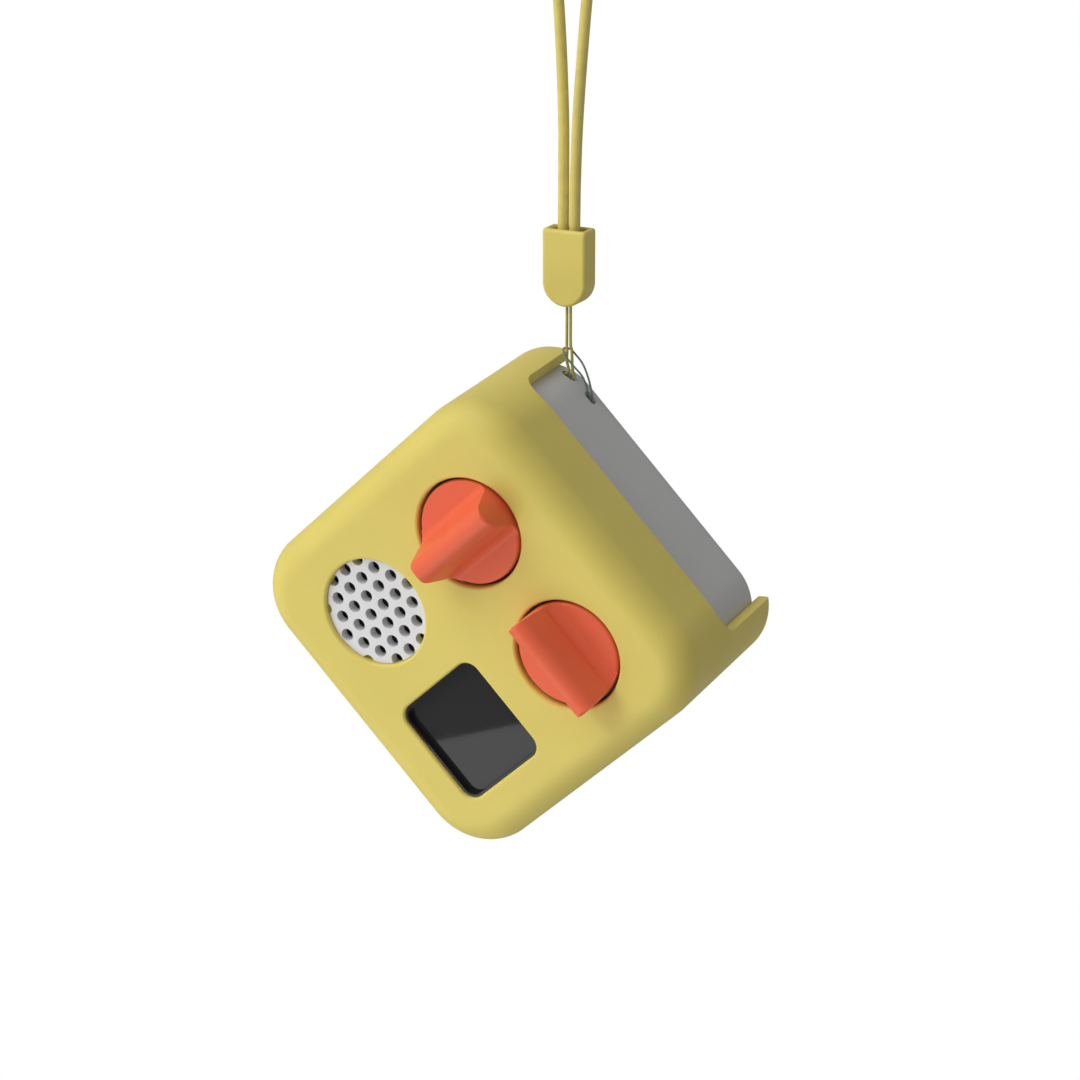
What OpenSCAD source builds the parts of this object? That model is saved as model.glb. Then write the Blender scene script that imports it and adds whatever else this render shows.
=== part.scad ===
// Portable audio player in a stretch-on silicone sleeve, hanging by one corner from its wrist strap.
// Frame: the strap hangs along Z with the top of its loop at the origin, and the front faces -Y.
// The player's own modules are drawn lying on its back: X to its right, Y to its top, Z out of its front.

/* [Casing] */
// Width and height of the square casing
case_w = 70; // [69:0.5:72]
// Depth of the casing, back to front plate
case_d = 37.5; // [37:0.5:39]
// Corner radius of the casing seen from the front
case_corner = 11; // [10:0.1:12]
// Wall thickness of both shells
wall = 2; // [1.8:0.1:2.2]
// Depth of the front shell, front plate to parting line
front_shell_d = 8.5; // [7.5:0.5:10]

/* [Sleeve] */
// Thickness of the sleeve on its sides and front
sleeve_t = 2.5; // [2:0.1:3]
// Rounding of the sleeve's front edge
sleeve_front_r = 6; // [5:0.1:7]
// Rounding of the sleeve's end behind
sleeve_end_r = 0.8; // [0.5:0.1:1.2]
// Distance from the front to the opening in the top side
open_from = 17.5; // [15:0.1:19]
// Width of the opening in the top side
open_w = 64; // [61:0.5:65]
// Radius of the opening's two inner corners
open_corner = 6; // [4:0.5:7]

/* [Controls] */
// Spacing of the two by two layout on the front
grid = 30.3; // [29.8:0.1:30.6]
// Height of the layout's centre above the centre of the front
grid_lift = 0.5; // [0:0.1:0.8]
// Diameter of the wells around the knobs and of the speaker window
well_d = 22.8; // [22.4:0.1:23.2]
// Diameter of a knob
knob_d = 21.6; // [20.5:0.1:21.8]
// Height of the knob's grip above the sleeve
grip_rise = 7.9; // [7:0.1:8.2]
// Radius of the grip's round crest
crest_r = 2.75; // [2.6:0.05:3]
// Slope of the grip's sides, in degrees
grip_taper = 18; // [15:1:20]
// Radius of the hollow at each foot of the grip
foot_r = 2.5; // [2:0.1:3]
// Travel of a knob when it is pressed
push_travel = 0.6; // [0.3:0.1:0.7]
// Diameter of the power button
button_d = 6.5; // [5.5:0.1:7]

/* [Speaker and display] */
// Diameter of a hole in the speaker grille
grille_hole_d = 2.6; // [2.2:0.1:2.8]
// Spacing of the holes along a row of the grille
grille_pitch = 4; // [3.9:0.05:4.1]
// Spacing of the rows
grille_row = 3.4; // [3.3:0.05:3.5]
// Diameter of the loudspeaker
speaker_d = 28; // [26:0.5:28]
// Width of the display window in the sleeve
display_w = 23.2; // [22.6:0.1:23.6]
// Height of the display window
display_h = 22.4; // [22:0.1:23.2]

/* [Strap] */
// Diameter of the thick wrist cord
cord_d = 2.2; // [1.8:0.1:2.4]
// Diameter of the thin string that ties it to the casing
string_d = 0.6; // [0.5:0.05:0.6]
// Width of the bead
bead_w = 9.5; // [8.8:0.1:10]
// Thickness of the bead
bead_t = 5.2; // [4.8:0.1:5.5]
// Height of the bead
bead_h = 15.5; // [14:0.5:15.5]
// Spacing of the two strap holes in the casing
strap_pitch = 6.1; // [6:0.1:6.2]
// Length of a strap hole
strap_hole_l = 3.2; // [3.1:0.1:3.4]
// Width of a strap hole
strap_hole_w = 2; // [1.8:0.1:2.2]

/* [Pose] */
// Angle by which the player hangs turned in the plane of its front
hang_angle = 47.3; // [47.3:1:47.3]
// Angle by which its front tips towards the floor
tip_angle = 4.3; // [4.3:1:4.3]

/* [Hidden] */
$fn = 64;

// Heights above the back of the casing, where the sleeve ends too
case_front = case_d;
front_z = case_front + sleeve_t;
parting_z = case_front - front_shell_d;
plate_back = case_front - wall;

// Outlines seen from the front
case_half = case_w / 2;
sleeve_w = case_w + 2 * sleeve_t;
sleeve_half = sleeve_w / 2;
sleeve_corner = case_corner + sleeve_t;
slip = 0.05;
case_edge_front = 4;
case_edge_back = 4.2;

// Centres of the two by two layout
left_x = -grid / 2;
right_x = grid / 2;
knob_y = grid / 2 + grid_lift;
lower_y = -grid / 2 + grid_lift;
display_y = lower_y - 0.2;

// Knobs and their encoders
knob_r = knob_d / 2;
knob_base = case_front + 0.8;
knob_face = front_z - 0.5;
grip_top = front_z + grip_rise;
grip_end_r = 0.8;
rim_r = 0.6;
shaft_r = 3;
shaft_flat = 1.5;
running = 0.05;
board_t = 1.6;
front_board_z = case_front - 10.5;
encoder_w = 12.4;
encoder_h = 13.2;
encoder_z = front_board_z + board_t;
encoder_top = plate_back - 0.4;
bushing_r = 3.5;
rotor_r = 5.1;
rotor_z = encoder_z + 3;
rotor_t = 2.4;
shaft_z = encoder_z + 1.4;
shaft_top = grip_top - 5;

// Speaker and display
grille_r = well_d / 2 + 2.2;
grille_shift = [-0.2, 0.3];
grille_field_r = 12.05;
grille_top = front_z - 1;
grille_sheet_t = 2;
speaker_r = speaker_d / 2;
gasket_t = 0.6;
speaker_top = plate_back - gasket_t;
speaker_flange_t = 1.2;
basket_depth = 6;
magnet_r = 8;
magnet_t = 4.5;
lens_w = display_w + 2.4;
lens_t = 1.2;
lens_face_z = case_front + 0.5;
lens_rim_z = front_z - 0.7;
display_corner = 3;
lip_r = 0.6;
module_w = 22;

// Screw pillars: places on the front, and heights
pillars = [[-27.2, -27.2], [27.2, -27.2], [-27.5, 21], [27.5, 21]];
pillar_r = 2.6;
pillar_split = 22;
screw_seat = 12;
screw_r = 1;
screw_head_r = 2;

// Holes for the screws of the front board
board_holes = [[-3, 19], [-3, 7], [19, 1.5]];
small_screw_r = 0.8;
small_head_r = 1.6;
screw_hole_r = 1;

// Main board, standoffs and battery
board_x0 = -31;
board_x1 = 32.5;
board_y0 = -21;
board_y1 = 17.5;
board_z = 12.5;
board_top = board_z + board_t;
standoffs = [[-28, -18.5], [28.5, -18.5], [-28, 13.5], [23, 13.5]];
standoff_r = 2;
battery_size = [41, 30, 8.5];
battery_y = -3;
battery_z = wall + 0.8;

// Sockets and button on the right side
usb_y = 0;
usb_w = 9;
usb_h = 3.3;
usb_z = board_top + usb_h / 2;
jack_y = -12.5;
jack_z = board_top + 2.9;
jack_bore_r = 1.8;
button_y = 12.5;
button_z = board_top + 5;
button_r = button_d / 2;

// Strap: anchor on the casing, and heights below the loop's top
anchor = [-28, 35, 6];
anchor_drop = 145;
strap_x1 = -27.5;
strap_x2 = strap_x1 + strap_pitch;
tunnel_y = 31.2;
strap_z = 5.4;
bead_bottom = -131;
crimp_z = -127;
crimp_t = 2.4;

// Route of the thick cord: out of the bead, round the loop and back into the bead
cord_route = [[-1.25, 0, -124.6], [-1.25, 0, -120], [-1.25, 0, -115], [-1.25, 0.1, -105],
    [-1.4, 0.2, -92], [-2.4, 0.4, -74], [-4.4, 0.6, -52], [-6.2, 0.4, -30], [-6.6, 0.2, -14],
    [-4.8, 0, -4], [0, 0, -1.1], [5.2, 0, -4], [7.4, -0.2, -14], [7.4, -0.4, -30],
    [5.8, -0.6, -52], [3.6, -0.5, -74], [2.1, -0.3, -92], [1.45, -0.1, -105], [1.25, 0, -115],
    [1.25, 0, -120], [1.25, 0, -124.6]];

// Route of the thin string, measured from the anchor: down into the first hole, under the bar,
// out of the second hole, round its own two strands and back the same way
string_route = [[-0.4, 0, 18], [-0.4, 0, 12], [-0.42, 0, 6], [-0.38, 0.1, 4.66], [-0.54, 0.3, 2.32],
    [-0.31, 0.68, 0.24], [-1.52, 0.91, -0.79], [-2.28, 1.15, -2.02], [-2.04, 1.24, -3.16],
    [-0.76, 1.36, -4.69], [0.67, 1.46, -6.09], [2.2, 1.42, -6.87], [3.53, 1.27, -6.26],
    [4.68, 1.08, -5], [4.68, 0.9, -3.56], [3.91, 0.95, -0.78], [2.67, 0.95, 1.95],
    [1.02, 0.9, 3.81], [0.09, 0.85, 4.62], [-0.89, 0.8, 4.88], [-1.24, 0.1, 4.76],
    [-0.64, -0.6, 3.96], [0.32, -0.7, 2.88], [1.43, -0.6, 1.7], [3.05, -0.15, -0.2],
    [3.85, 0.2, -2.25], [3.83, 0.72, -4.18], [2.62, 0.7, -5.3], [1.56, 0.71, -6.15],
    [0.26, 0.68, -5.71], [-0.86, 0.59, -4.57], [-1.13, 0.55, -3.32], [-0.23, 0.57, -2.22],
    [0.94, 0.59, -1.13], [0.69, 0.3, 1.04], [0.62, 0.1, 4.78], [0.42, 0, 6], [0.4, 0, 12],
    [0.4, 0, 18]];

// ---- Shared shapes ----

// Right half of a section: width half, heights z0 to z1, rounded at the back and front edges
module half_section(half, z0, z1, back_r = 0, front_r = 0) {
    difference() {
        translate([0, z0]) square([half, z1 - z0]);
        if (front_r > 0) translate([half - front_r, z1 - front_r]) edge_waste(front_r);
        if (back_r > 0) translate([half - back_r, z0 + back_r]) mirror([0, 1]) edge_waste(back_r);
    }
}

// What rounding a square corner takes away
module edge_waste(r) {
    difference() {
        square(r + 1);
        circle(r);
    }
}

// Right half of a hole that opens out with a rounded lip at height z1
module flared_section(half, z0, z1, lip) {
    translate([0, z0]) square([half, z1 - z0 + 1]);
    translate([half, z1 - lip]) difference() {
        square([lip, lip + 1]);
        translate([lip, 0]) circle(lip);
    }
}

// Round-cornered block whose edge profile is the child, drawn from the corner's axis outwards
module profiled_block(w, h, corner, z0, z1) {
    inner_w = w - 2 * corner;
    inner_h = h - 2 * corner;
    for (x = [-1, 1], y = [-1, 1])
        translate([x * inner_w / 2, y * inner_h / 2, 0]) rotate_extrude() children();
    rotate([90, 0, 0]) linear_extrude(inner_h, center = true) both_sides(inner_w, z0, z1) children();
    rotate([90, 0, 90]) linear_extrude(inner_w, center = true) both_sides(inner_h, z0, z1) children();
}

// The child profile on both ends of a strip
module both_sides(inner, z0, z1) {
    translate([inner / 2, 0]) children();
    mirror([1, 0]) translate([inner / 2, 0]) children();
    translate([-inner / 2, z0]) square([inner, z1 - z0]);
}

// Round-cornered block with rounded back and front edges
module slab(w, h, corner, z0, z1, back_r = 0, front_r = 0) {
    profiled_block(w, h, corner, z0, z1) half_section(corner, z0, z1, back_r, front_r);
}

// Flat rectangle with round corners
module round_rect(w, h, r) {
    square([w - 2 * r, h], center = true);
    square([w, h - 2 * r], center = true);
    for (x = [-1, 1], y = [-1, 1]) translate([x * (w / 2 - r), y * (h / 2 - r)]) circle(r);
}

// Round-cornered plate between two heights
module plate(w, h, r, z0, z1) {
    translate([0, 0, z0]) linear_extrude(z1 - z0) round_rect(w, h, r);
}

// Straight cylinder between two heights
module post(r, z0, z1) {
    translate([0, 0, z0]) cylinder(h = z1 - z0, r = r);
}

// Cylinder along X between two places
module rod_x(r, x0, x1) {
    translate([x0, 0, 0]) rotate([0, 90, 0]) cylinder(h = x1 - x0, r = r);
}

// Box given by its lowest and highest corners
module box(low, high) {
    translate(low) cube(high - low);
}

// Moves the player from its back on a bench to its place on the strap
module hang() {
    translate([0, 0, -anchor_drop]) rotate([tip_angle, 0, 0]) rotate([0, hang_angle, 0])
        rotate([90, 0, 0]) translate(-anchor) children();
}

// ---- Tubes swept along a route ----

function unit(v) = v / norm(v);
function last(p) = len(p) - 1;

// Directions of travel along the points p
function tangents(p) = [for (i = [0:last(p)]) unit(p[min(i + 1, last(p))] - p[max(i - 1, 0)])];

// Sideways direction n carried along the tangents t without twisting
function carried(t, n, i = 0) =
    i > last(t) ? [] : let (m = unit(n - (n * t[i]) * t[i])) concat([m], carried(t, m, i + 1));

// Point at u between b and c on the smooth curve through a, b, c and d
function curve_point(a, b, c, d, u) =
    (2 * b + (c - a) * u + (2 * a - 5 * b + 4 * c - d) * u * u + (3 * b - a - 3 * c + d) * u * u * u) / 2;

// Route p with steps points on each of its stretches
function smoothed(p, steps) = concat(
    [for (i = [0:last(p) - 1], k = [0:steps - 1])
        curve_point(p[max(i - 1, 0)], p[i], p[i + 1], p[min(i + 2, last(p))], k / steps)],
    [p[last(p)]]);

// Tube of diameter d with its rings at the points p
module tube(p, d, sides = 8) {
    t = tangents(p);
    n = carried(t, [1, 0, 0]);
    rings = [for (i = [0:last(p)], j = [0:sides - 1])
        let (a = 360 * (j + 0.5) / sides) p[i] + d / 2 * (cos(a) * n[i] + sin(a) * cross(t[i], n[i]))];
    walls = [for (i = [0:last(p) - 1], j = [0:sides - 1])
        [i * sides + j, (i + 1) * sides + j,
            (i + 1) * sides + (j + 1) % sides, i * sides + (j + 1) % sides]];
    first_end = [for (j = [0:sides - 1]) j];
    other_end = [for (j = [sides - 1:-1:0]) last(p) * sides + j];
    polyhedron(points = rings, faces = concat([first_end, other_end], walls), convexity = 10);
}

// ---- Sleeve and casing ----

// Silicone sleeve: stretched over the casing, open along its top side and behind
module silicone_sleeve() {
    color([0.85, 0.79, 0.42]) hang() difference() {
        slab(sleeve_w, sleeve_w, sleeve_corner, 0, front_z, sleeve_end_r, sleeve_front_r);
        slab(case_w + 2 * slip, case_w + 2 * slip, case_corner + slip, -1, case_front,
            0, case_edge_front);
        top_opening();
        for (x = [left_x, right_x]) translate([x, knob_y, 0]) window_hole();
        translate([left_x, lower_y, 0]) window_hole();
        translate([right_x, display_y, 0])
            profiled_block(display_w, display_h, display_corner, plate_back, front_z + 1)
                flared_section(display_corner, plate_back, front_z, lip_r);
        side_cutouts();
    }
}

// Opening in the top side: its ends are cut square to the wall, part of the way round each corner
module top_opening() {
    centre = case_half - case_corner;
    end_angle = acos((open_w / 2 - centre) / sleeve_corner);
    inner = (case_corner - 1.5) * [cos(end_angle), sin(end_angle)] + [centre, centre];
    outer = (sleeve_corner + 4) * [cos(end_angle), sin(end_angle)] + [centre, centre];
    intersection() {
        translate([0, 0, -1]) linear_extrude(front_z)
            polygon([[-inner.x, inner.y], [inner.x, inner.y], outer, [-outer.x, outer.y]]);
        translate([0, case_half + 10, 0]) rotate([90, 0, 0]) linear_extrude(15)
            translate([0, (front_z - open_from) / 2 - 10])
                round_rect(open_w, front_z - open_from + 20, open_corner);
    }
}

// Round hole with a soft lip through the sleeve's front
module window_hole() {
    rotate_extrude() flared_section(well_d / 2, plate_back, front_z, lip_r);
}

// Cut-outs in the sleeve over the sockets and the power button
module side_cutouts() {
    x0 = case_half - 1;
    x1 = sleeve_half + 1;
    translate([0, button_y, button_z]) rod_x(button_r + 0.8, x0, x1);
    translate([0, jack_y, jack_z]) rod_x(4.2, x0, x1);
    translate([x0, usb_y, usb_z]) rotate([90, 0, 90]) linear_extrude(x1 - x0)
        round_rect(usb_w + 3.4, usb_h + 3.4, 2.6);
}

// Front shell: the front plate and the pillars that the casing screws hold
module front_shell() {
    color([0.12, 0.12, 0.13]) hang() difference() {
        union() {
            difference() {
                slab(case_w, case_w, case_corner, parting_z, case_front, 0, case_edge_front);
                slab(case_w - 2 * wall, case_w - 2 * wall, case_corner - wall, parting_z - 1,
                    plate_back, 0, case_edge_front - wall);
            }
            for (p = pillars) translate(p) post(pillar_r, pillar_split, plate_back);
            for (p = board_holes) translate(p) post(standoff_r, encoder_z, plate_back);
        }
        for (p = pillars) translate(p) post(screw_r, pillar_split - 1, pillar_split + 9);
        for (p = board_holes) translate(p) post(small_screw_r, encoder_z - 1, encoder_z + 5);
        for (x = [left_x, right_x])
            translate([x, knob_y, 0]) post(bushing_r + 0.1, plate_back - 1, case_front + 1);
        translate([left_x, lower_y, 0]) post(grille_r, plate_back - 1, case_front + 1);
        translate([right_x, lower_y, 0]) {
            plate(module_w, module_w, 2, plate_back - 1, case_front + 1);
        }
        translate([right_x, display_y, 0])
            plate(lens_w, lens_w, display_corner + 1, case_front - lens_t, case_front + 1);
    }
}

// Rear shell: tray with pillars, standoffs and the bar that the strap is tied to
module rear_shell() {
    color([0.74, 0.74, 0.73]) hang() difference() {
        union() {
            difference() {
                slab(case_w, case_w, case_corner, 0, parting_z, case_edge_back);
                difference() {
                    slab(case_w - 2 * wall, case_w - 2 * wall, case_corner - wall,
                        wall, parting_z + 1, case_edge_back - wall);
                    box([-case_half, tunnel_y - 2.8, 0], [strap_x2 + 3.6, case_half, strap_z + 4]);
                }
            }
            for (p = pillars) translate(p) post(pillar_r, wall, pillar_split);
            for (p = standoffs) translate(p) post(standoff_r, wall, board_z);
        }
        for (p = pillars) translate(p) {
            post(screw_head_r + 0.1, -1, screw_seat);
            post(screw_r + 0.2, screw_seat - 1, pillar_split + 1);
        }
        for (p = standoffs) translate(p) post(small_screw_r, board_z - 5, board_z + 1);
        strap_tunnel();
        translate([0, button_y, button_z]) rod_x(button_r + running, case_half - wall - 1, case_half + 1);
        translate([0, jack_y, jack_z]) rod_x(2.9, case_half - wall - 1, case_half + 1);
        translate([case_half - wall - 1, usb_y, usb_z]) rotate([90, 0, 90]) linear_extrude(wall + 2)
            round_rect(usb_w + 0.2, usb_h + 0.2, 1.6);
    }
}

// Two oblong holes joined behind a bar, which the strap's string passes under
module strap_tunnel() {
    r = strap_hole_w / 2;
    straight = strap_hole_l - strap_hole_w;
    for (x = [strap_x1, strap_x2]) translate([x, tunnel_y - r, strap_z]) {
        rotate([-90, 0, 0]) linear_extrude(case_half) {
            square([straight, strap_hole_w], center = true);
            for (side = [-1, 1]) translate([side * straight / 2, 0]) circle(r);
        }
    }
    translate([0, tunnel_y, strap_z]) rod_x(r, strap_x1, strap_x2);
}

// ---- Speaker ----

// White cap of the loudspeaker: a perforated sheet that stands up into the speaker window
module speaker_grille() {
    sheet_back = grille_top - grille_sheet_t;
    color([0.93, 0.93, 0.94]) hang() translate([left_x, lower_y, 0]) difference() {
        union() {
            post(grille_r, plate_back, case_front);
            post(well_d / 2 - 0.1, plate_back, grille_top);
        }
        post(grille_r - 1.4, plate_back - 1, sheet_back);
        for (i = [-3:3], j = [-3:0.5:3]) {
            place = grille_shift + [i * grille_row, j * grille_pitch];
            if ((2 * j + i) % 2 != 0 && norm(place) < grille_field_r)
                translate(place) post(grille_hole_d / 2, sheet_back - 0.1, grille_top + 1);
        }
    }
}

// Foam ring between the grille and the loudspeaker
module speaker_gasket() {
    color([0.2, 0.2, 0.21]) hang() translate([left_x, lower_y, 0]) difference() {
        post(speaker_r, speaker_top, plate_back);
        post(speaker_r - 3, speaker_top - 1, plate_back + 1);
    }
}

// Loudspeaker basket: flange and a stepped pot with the magnet's seat
module speaker_frame() {
    color([0.35, 0.35, 0.37]) hang() translate([left_x, lower_y, speaker_top]) rotate_extrude()
        polygon([[speaker_r, 0], [speaker_r, -speaker_flange_t], [speaker_r - 2, -speaker_flange_t],
            [magnet_r + 1, -basket_depth], [magnet_r - 3, -basket_depth], [magnet_r - 3, -basket_depth + 1],
            [magnet_r + 0.5, -basket_depth + 1], [speaker_r - 3, -speaker_flange_t], [speaker_r - 3, 0]]);
}

// Paper cone with its dust cap, held in the basket's flange
module speaker_cone() {
    edge_r = speaker_r - 3;
    color([0.12, 0.12, 0.13]) hang() translate([left_x, lower_y, speaker_top]) rotate_extrude()
        polygon([[edge_r, -0.2], [edge_r, -0.6], [edge_r - 1.5, -1], [3.5, -4], [0, -4], [0, -3.2], [3, -3],
            [edge_r - 1.5, -0.4]]);
}

// Loudspeaker magnet
module speaker_magnet() {
    color([0.55, 0.56, 0.58]) hang() translate([left_x, lower_y, speaker_top - basket_depth])
        post(magnet_r, -magnet_t, 0);
}

// ---- Display ----

// Dark glass with a raised rim that lines the sleeve's window
module display_lens() {
    color([0.16, 0.16, 0.17]) hang() translate([right_x, display_y, 0]) difference() {
        union() {
            plate(lens_w, lens_w, display_corner + 1, case_front - lens_t, case_front);
            plate(display_w - 0.2, display_h - 0.2, display_corner - 0.1, case_front - 0.1, lens_rim_z);
        }
        plate(display_w - 1.1, display_h - 1.1, display_corner - 0.6, lens_face_z, front_z);
    }
}

// Thin frame of foam tape that seals the lens to its lamp panel
module display_gasket() {
    color([0.1, 0.1, 0.1]) hang() translate([right_x, lower_y, 0]) difference() {
        plate(module_w - 0.4, module_w - 0.4, 1.5, case_front - lens_t - 0.5, case_front - lens_t);
        plate(module_w - 3, module_w - 3, 1, case_front - lens_t - 1, case_front);
    }
}

// Panel of lamps, sixteen by sixteen pixels behind a diffuser
module display_module() {
    color([0.9, 0.9, 0.88]) hang() translate([right_x, lower_y, 0])
        plate(module_w - 0.4, module_w - 0.4, 1.5, encoder_z, case_front - lens_t - 0.5);
}

// ---- Controls ----

// Circuit board behind the knobs and the display, cut away around the loudspeaker
module front_board() {
    color([0.1, 0.38, 0.25]) hang() difference() {
        union() {
            box([-22.4, 4, front_board_z], [22.4, 22.3, encoder_z]);
            box([right_x - 11.8, -24.2, front_board_z], [right_x + 11.8, 5, encoder_z]);
        }
        for (p = board_holes) translate(p) post(screw_hole_r, front_board_z - 1, encoder_z + 1);
    }
}

// Encoder body with its threaded bushing, hollow for the rotor
module encoder(x) {
    color([0.62, 0.63, 0.65]) hang() translate([x, knob_y, 0]) difference() {
        union() {
            plate(encoder_w, encoder_h, 0.6, encoder_z, encoder_top);
            post(bushing_r, encoder_top - 0.1, case_front - 0.2);
        }
        post(rotor_r + running, rotor_z - 0.1, rotor_z + rotor_t + 0.1);
        post(shaft_r + running, shaft_z - push_travel - 0.2, case_front + 1);
    }
}

// Contact wheel that turns with the shaft and lets it slide through
module rotor(x) {
    color([0.25, 0.25, 0.27]) hang() translate([x, knob_y, 0]) difference() {
        post(rotor_r, rotor_z, rotor_z + rotor_t);
        post(shaft_r + running, rotor_z - 1, rotor_z + rotor_t + 1);
    }
}

// Round shaft with a flat near its top
module shaft(x) {
    color([0.75, 0.76, 0.78]) hang() translate([x, knob_y, 0]) difference() {
        post(shaft_r, shaft_z, shaft_top);
        box([shaft_flat, -shaft_r, case_front], [shaft_r + 1, shaft_r, shaft_top + 1]);
    }
}

// Knob: a flat round face crossed by a tall grip
module knob(x, turn) {
    color([0.91, 0.42, 0.29]) hang() translate([x, knob_y, 0]) rotate([0, 0, turn]) difference() {
        union() {
            rotate_extrude() half_section(knob_r, knob_base, knob_face, 0, rim_r);
            intersection() {
                rotate([90, 0, 0]) linear_extrude(knob_d + 2, center = true) grip_section();
                rotate_extrude() half_section(knob_r, knob_base, grip_top, 0, grip_end_r);
            }
        }
        post(shaft_r, knob_base - 1, shaft_top);
    }
}

// Section across the grip: round crest, sides that widen downwards and a small hollow at each foot
module grip_section() {
    low_z = knob_base + 0.5;
    crest_z = grip_top - crest_r;
    shoulder = [crest_r * cos(grip_taper), crest_z + crest_r * sin(grip_taper)];
    low_x = shoulder.x + (shoulder.y - low_z) * tan(grip_taper);
    foot_x = shoulder.x + (shoulder.y - knob_face - foot_r) * tan(grip_taper);
    translate([0, crest_z]) circle(crest_r);
    polygon([[-low_x, low_z], [low_x, low_z], shoulder, [-shoulder.x, shoulder.y]]);
    for (side = [0, 1]) mirror([side, 0]) translate([foot_x, knob_face - 0.1]) difference() {
        square(foot_r);
        translate([foot_r, foot_r]) circle(foot_r);
    }
}

module left_encoder() { encoder(left_x); }
module right_encoder() { encoder(right_x); }
module left_rotor() { rotor(left_x); }
module right_rotor() { rotor(right_x); }
module left_shaft() { shaft(left_x); }
module right_shaft() { shaft(right_x); }
module left_knob() { knob(left_x, 0); }
module right_knob() { knob(right_x, 90); }

// Power button: cap through the casing's side, flange behind the wall and a nub into its switch
module power_button() {
    inner = case_half - wall;
    color([0.91, 0.42, 0.29]) hang() translate([0, button_y, button_z]) {
        rod_x(button_r, inner - 0.3, case_half + 1.4);
        rod_x(button_r + 1, inner - 1.2, inner - 0.2);
        rod_x(1.2, inner - 3.6, inner - 1.1);
    }
}

// Switch that the power button presses
module power_switch() {
    inner = case_half - wall;
    color([0.2, 0.2, 0.22]) hang() difference() {
        box([inner - 7.5, button_y - 3.4, board_top], [inner - 2, button_y + 3.4, button_z + 2.6]);
        translate([0, button_y, button_z]) rod_x(1.2 + running, inner - 4.5, inner);
    }
}

// ---- Main board and power ----

// Main circuit board on four standoffs
module main_board() {
    color([0.1, 0.38, 0.25]) hang() difference() {
        box([board_x0, board_y0, board_z], [board_x1, board_y1, board_top]);
        for (p = standoffs) translate(p) post(screw_hole_r, board_z - 1, board_top + 1);
    }
}

// Metal can over the processor and the radio
module shield_can() {
    color([0.7, 0.71, 0.73]) hang() translate([-10, -2, 0]) plate(20, 18, 1, board_top, board_top + 2.4);
}

// Flat rechargeable cell
module battery() {
    color([0.35, 0.45, 0.6]) hang() translate([0, battery_y, 0])
        plate(battery_size.x, battery_size.y, 2, battery_z, battery_z + battery_size.z);
}

// Foam pad that holds the cell to the rear shell
module battery_pad() {
    color([0.25, 0.25, 0.25]) hang() translate([0, battery_y, 0])
        plate(36, 24, 1, wall, battery_z);
}

// Flat strip bent along a side path, ribs of equal width
module bent_strip(path, t, width) {
    rotate([90, 0, 0]) linear_extrude(width, center = true) for (i = [0:len(path) - 2])
        strip_piece(path[i], path[i + 1], t);
}

// One straight piece of a strip with round ends
module strip_piece(a, b, t) {
    run = b - a;
    translate(a) rotate(atan2(run.y, run.x)) translate([0, -t / 2]) square([norm(run), t]);
    translate(a) circle(t / 2);
    translate(b) circle(t / 2);
}

// Twin lead from the cell to the main board
module battery_lead() {
    t = 1.2;
    wall_x = -case_half + wall + t / 2 + 0.05;
    cell_x = -(battery_size.x + t) / 2;
    color([0.75, 0.15, 0.12]) hang() translate([0, 5, 0])
        bent_strip([[cell_x, 8], [-29.6, 8], [wall_x, 11], [wall_x, 16], [-27, 16],
            [-25, board_top + t / 2]], t, 2 * t);
}

// Twin lead from the loudspeaker to the main board
module speaker_lead() {
    color([0.15, 0.15, 0.16]) hang() translate([0, lower_y - 1, 0])
        bent_strip([[-25.6, board_top + 0.5], [-27.6, 20], [-26.6, 27], [-26.1, speaker_top - 3.5]], 1, 2);
}

// Ribbon that joins the main board to the front board
module board_ribbon() {
    color([0.85, 0.8, 0.65]) hang() translate([0, 12, 0])
        bent_strip([[8, board_top + 0.2], [14, board_top + 0.2], [19, 20], [14, front_board_z - 0.2],
            [6, front_board_z - 0.2]], 0.4, 12);
}

// Flat radio antenna on the casing's left wall
module antenna() {
    color([0.8, 0.55, 0.25]) hang()
        box([-case_half + wall, -20, 17], [-case_half + wall + 0.4, 10, 26]);
}

// ---- Sockets ----

// USB-C socket: thin shell with its contact tongue
module usb_socket() {
    color([0.72, 0.73, 0.75]) hang() translate([0, usb_y, usb_z]) rotate([90, 0, 90]) {
        translate([0, 0, case_half - 8]) linear_extrude(7.4) difference() {
            round_rect(usb_w, usb_h, 1.6);
            round_rect(usb_w - 0.7, usb_h - 0.7, 1.25);
        }
        translate([0, 0, case_half - 8.8]) linear_extrude(0.9) round_rect(usb_w, usb_h, 1.6);
        translate([0, 0, case_half - 8]) linear_extrude(5) square([6.6, 0.7], center = true);
    }
}

// Headphone socket: block with a round nose in the casing's side and a bore for the plug
module headphone_socket() {
    color([0.12, 0.12, 0.13]) hang() difference() {
        union() {
            box([case_half - 15, jack_y - 3.2, board_top], [case_half - wall, jack_y + 3.2, jack_z + 2.9]);
            translate([0, jack_y, jack_z]) rod_x(2.9, case_half - wall - 1, case_half - 0.2);
        }
        translate([0, jack_y, jack_z]) rod_x(jack_bore_r, case_half - 14.2, case_half + 1);
    }
}

// ---- Fasteners ----

// Pan-head screw standing on its point
module screw(head_r, head_z, shank_r, tip_z) {
    post(head_r, head_z - 1.4, head_z);
    post(shank_r, head_z - 0.1, tip_z);
}

// Four long screws that join the shells
module casing_screws() {
    color([0.5, 0.5, 0.52]) hang() for (p = pillars) translate(p)
        screw(screw_head_r, screw_seat, screw_r, pillar_split + 8);
}

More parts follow.
